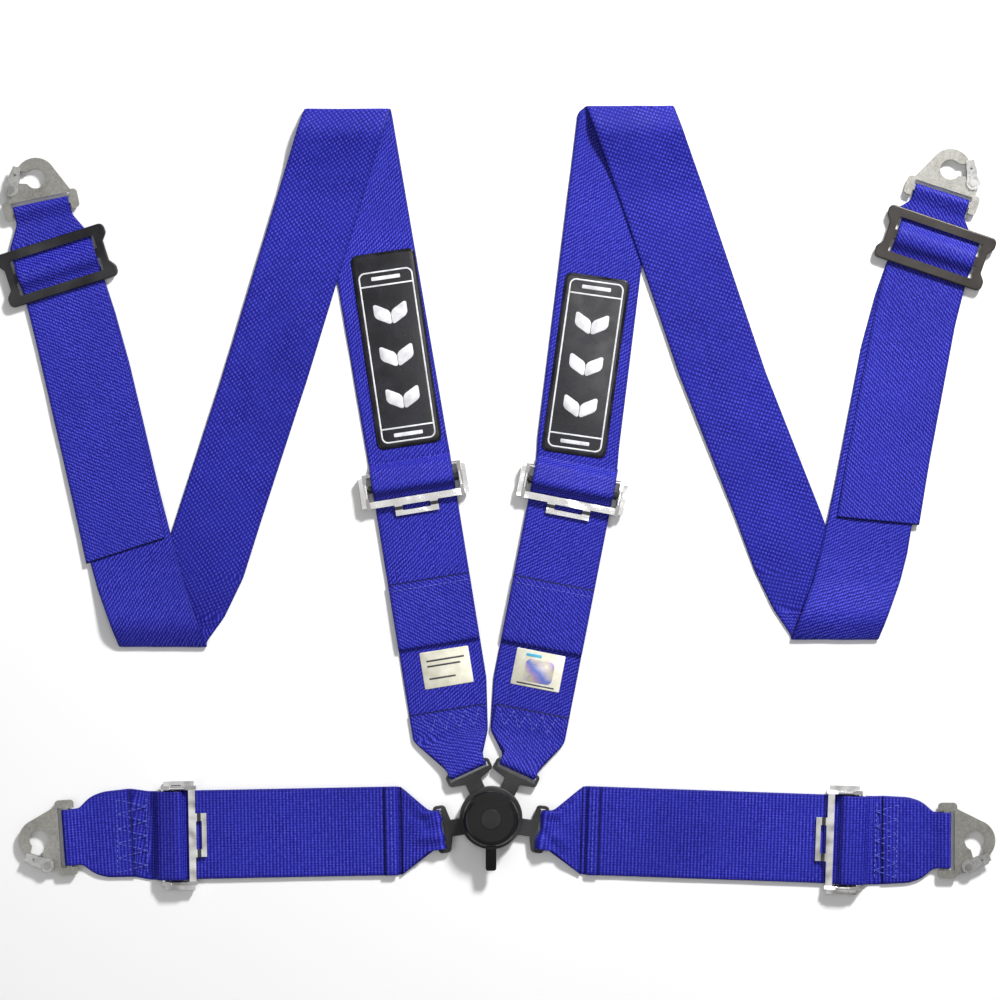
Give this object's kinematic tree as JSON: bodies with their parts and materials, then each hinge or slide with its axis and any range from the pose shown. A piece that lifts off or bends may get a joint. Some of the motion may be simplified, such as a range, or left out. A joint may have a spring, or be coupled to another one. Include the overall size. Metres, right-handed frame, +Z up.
{
  "type": "racing harness",
  "caption": "Four-point racing harness laid flat: wide blue webbing, rotary cam-lock buckle, tilt-lock adjusters, strap sliders and sprung snap hooks.",
  "frame": {"origin": "centre of the buckle's back face, on the surface that the harness lies on", "axes": "+Y towards the shoulder straps, +X towards the right lap strap as drawn, +Z up out of the surface"},
  "size_m": [0.8917, 0.7031, 0.0234],
  "materials": {
    "webbing_shoulder": "diagonal woven blue webbing",
    "webbing_lap": "cross-ribbed woven blue webbing",
    "buckle_body": "black anodised, satin",
    "knob": "black moulded, fine grain",
    "knob_cap": "black gloss disc",
    "steel": "plain steel",
    "spring_steel": "spring wire",
    "tongue": "black coated steel",
    "adjuster": "bright chrome",
    "knurled_bar": "knurled steel",
    "hook": "zinc-plated steel",
    "gate": "bright zinc-plated sheet",
    "slider": "black coated steel, satin",
    "badge": "glossy black woven badge with white line graphics",
    "label_print": "cream printed label",
    "label_foil": "holographic foil label"
  },
  "bodies": {
    "buckle": {"buckle_base": "buckle_body", "buckle_housing": "buckle_body", "centre_post": "steel", "housing_screws": "steel", "lap_left_tongue": "tongue", "lap_left_webbing_lower": "webbing_lap", "lap_left_webbing_tail": "webbing_lap", "lap_left_webbing_main": "webbing_lap"},
    "knob": {"release_knob": "knob", "knob_cap": "knob_cap", "knob_spring": "spring_steel"},
    "lock_ring": {"lock_pins": "steel", "pin_spring": "spring_steel"},
    "shoulder_left_strap": {"shoulder_left_tongue": "tongue", "shoulder_left_webbing_lower": "webbing_shoulder", "shoulder_left_webbing_tail": "webbing_shoulder", "shoulder_left_webbing_inner": "webbing_shoulder", "shoulder_left_webbing_outer": "webbing_shoulder", "shoulder_left_webbing_anchor": "webbing_shoulder", "shoulder_left_slider": "slider", "shoulder_left_badge": "badge", "shoulder_left_label": "label_print"},
    "shoulder_right_strap": {"shoulder_right_tongue": "tongue", "shoulder_right_webbing_lower": "webbing_shoulder", "shoulder_right_webbing_tail": "webbing_shoulder", "shoulder_right_webbing_inner": "webbing_shoulder", "shoulder_right_webbing_outer": "webbing_shoulder", "shoulder_right_webbing_anchor": "webbing_shoulder", "shoulder_right_slider": "slider", "shoulder_right_badge": "badge", "shoulder_right_label": "label_foil"},
    "lap_right_strap": {"lap_right_tongue": "tongue", "lap_right_webbing_lower": "webbing_lap", "lap_right_webbing_tail": "webbing_lap", "lap_right_webbing_main": "webbing_lap"},
    "shoulder_left_frame": {"shoulder_left_adjuster_frame": "adjuster", "shoulder_left_adjuster_bar": "knurled_bar"},
    "shoulder_left_snap_hook": {"shoulder_left_hook": "hook", "shoulder_left_gate_rivet": "steel"},
    "shoulder_left_gate_leaf": {"shoulder_left_gate": "gate", "shoulder_left_gate_spring": "spring_steel"},
    "shoulder_right_frame": {"shoulder_right_adjuster_frame": "adjuster", "shoulder_right_adjuster_bar": "knurled_bar"},
    "shoulder_right_snap_hook": {"shoulder_right_hook": "hook", "shoulder_right_gate_rivet": "steel"},
    "shoulder_right_gate_leaf": {"shoulder_right_gate": "gate", "shoulder_right_gate_spring": "spring_steel"},
    "lap_left_frame": {"lap_left_adjuster_frame": "adjuster", "lap_left_adjuster_bar": "knurled_bar"},
    "lap_left_snap_hook": {"lap_left_hook": "hook", "lap_left_gate_rivet": "steel"},
    "lap_left_gate_leaf": {"lap_left_gate": "gate", "lap_left_gate_spring": "spring_steel"},
    "lap_right_frame": {"lap_right_adjuster_frame": "adjuster", "lap_right_adjuster_bar": "knurled_bar"},
    "lap_right_snap_hook": {"lap_right_hook": "hook", "lap_right_gate_rivet": "steel"},
    "lap_right_gate_leaf": {"lap_right_gate": "gate", "lap_right_gate_spring": "spring_steel"}
  },
  "joints": [
    {"name": "knob_turn", "type": "hinge", "parent": "buckle", "child": "knob", "pos_m": [0, 0, 0.0104], "axis": [0, 0, 1], "range_deg": [0, 60], "stiffness_Nm_per_rad": 0.08, "deforming": ["knob_spring"]},
    {"name": "lock_lift", "type": "slide", "parent": "buckle", "child": "lock_ring", "axis": [0, 0, 1], "range_m": [0, 0.002], "deforming": ["pin_spring"]},
    {"name": "shoulder_left_tongue_out", "type": "slide", "parent": "buckle", "child": "shoulder_left_strap", "axis": [-0.4226, 0.9063, 0], "range_m": [0, 0.03]},
    {"name": "shoulder_left_adjuster_tilt", "type": "hinge", "parent": "shoulder_left_strap", "child": "shoulder_left_frame", "pos_m": [-0.07136, 0.30986, 0.0041], "axis": [-0.9871, -0.1599, 0], "range_deg": [0, 30], "deforming": ["shoulder_left_webbing_tail"]},
    {"name": "shoulder_left_hook_swing", "type": "hinge", "parent": "shoulder_left_strap", "child": "shoulder_left_snap_hook", "pos_m": [-0.4009, 0.5452, 0.0044], "axis": [0.9792, 0.2028, 0], "range_deg": [0, 40]},
    {"name": "shoulder_left_gate_open", "type": "hinge", "parent": "shoulder_left_snap_hook", "child": "shoulder_left_gate_leaf", "pos_m": [-0.42738, 0.55963, 0.0044], "axis": [0, 0, -1], "range_deg": [0, 20], "stiffness_Nm_per_rad": 0.02, "deforming": ["shoulder_left_gate_spring"]},
    {"name": "shoulder_right_tongue_out", "type": "slide", "parent": "buckle", "child": "shoulder_right_strap", "axis": [0.4226, 0.9063, 0], "range_m": [0, 0.03]},
    {"name": "shoulder_right_adjuster_tilt", "type": "hinge", "parent": "shoulder_right_strap", "child": "shoulder_right_frame", "pos_m": [0.07512, 0.30579, 0.0041], "axis": [-0.9813, 0.1925, 0], "range_deg": [0, 30], "deforming": ["shoulder_right_webbing_tail"]},
    {"name": "shoulder_right_hook_swing", "type": "hinge", "parent": "shoulder_right_strap", "child": "shoulder_right_snap_hook", "pos_m": [0.4017, 0.5539, 0.0044], "axis": [0.9505, -0.3107, 0], "range_deg": [0, 40]},
    {"name": "shoulder_right_gate_open", "type": "hinge", "parent": "shoulder_right_snap_hook", "child": "shoulder_right_gate_leaf", "pos_m": [0.42962, 0.56529, 0.0044], "axis": [0, 0, 1], "range_deg": [0, 20], "stiffness_Nm_per_rad": 0.02, "deforming": ["shoulder_right_gate_spring"]},
    {"name": "lap_left_adjuster_tilt", "type": "hinge", "parent": "buckle", "child": "lap_left_frame", "pos_m": [-0.292, -0.01621, 0.0041], "axis": [0.0192, -0.9998, 0], "range_deg": [0, 30], "deforming": ["lap_left_webbing_tail"]},
    {"name": "lap_left_hook_swing", "type": "hinge", "parent": "buckle", "child": "lap_left_snap_hook", "pos_m": [-0.3776, -0.018, 0.0044], "axis": [-0.0698, 0.9976, 0], "range_deg": [0, 40]},
    {"name": "lap_left_gate_open", "type": "hinge", "parent": "lap_left_snap_hook", "child": "lap_left_gate_leaf", "pos_m": [-0.39545, -0.0423, 0.0044], "axis": [0, 0, -1], "range_deg": [0, 20], "stiffness_Nm_per_rad": 0.02, "deforming": ["lap_left_gate_spring"]},
    {"name": "lap_right_tongue_out", "type": "slide", "parent": "buckle", "child": "lap_right_strap", "axis": [0.9903, -0.1392, 0], "range_m": [0, 0.03]},
    {"name": "lap_right_adjuster_tilt", "type": "hinge", "parent": "lap_right_strap", "child": "lap_right_frame", "pos_m": [0.32799, -0.02038, 0.0041], "axis": [0.0349, 0.9994, 0], "range_deg": [0, 30], "deforming": ["lap_right_webbing_tail"]},
    {"name": "lap_right_hook_swing", "type": "hinge", "parent": "lap_right_strap", "child": "lap_right_snap_hook", "pos_m": [0.4061, -0.0205, 0.0044], "axis": [0, -1, 0], "range_deg": [0, 40]},
    {"name": "lap_right_gate_open", "type": "hinge", "parent": "lap_right_snap_hook", "child": "lap_right_gate_leaf", "pos_m": [0.4256, -0.0435, 0.0044], "axis": [0, 0, 1], "range_deg": [0, 20], "stiffness_Nm_per_rad": 0.02, "deforming": ["lap_right_gate_spring"]}
  ],
  "couplings": [
    {"joint": "knob_turn", "follows": "lock_lift", "rad_per_m": 523.5}
  ]
}
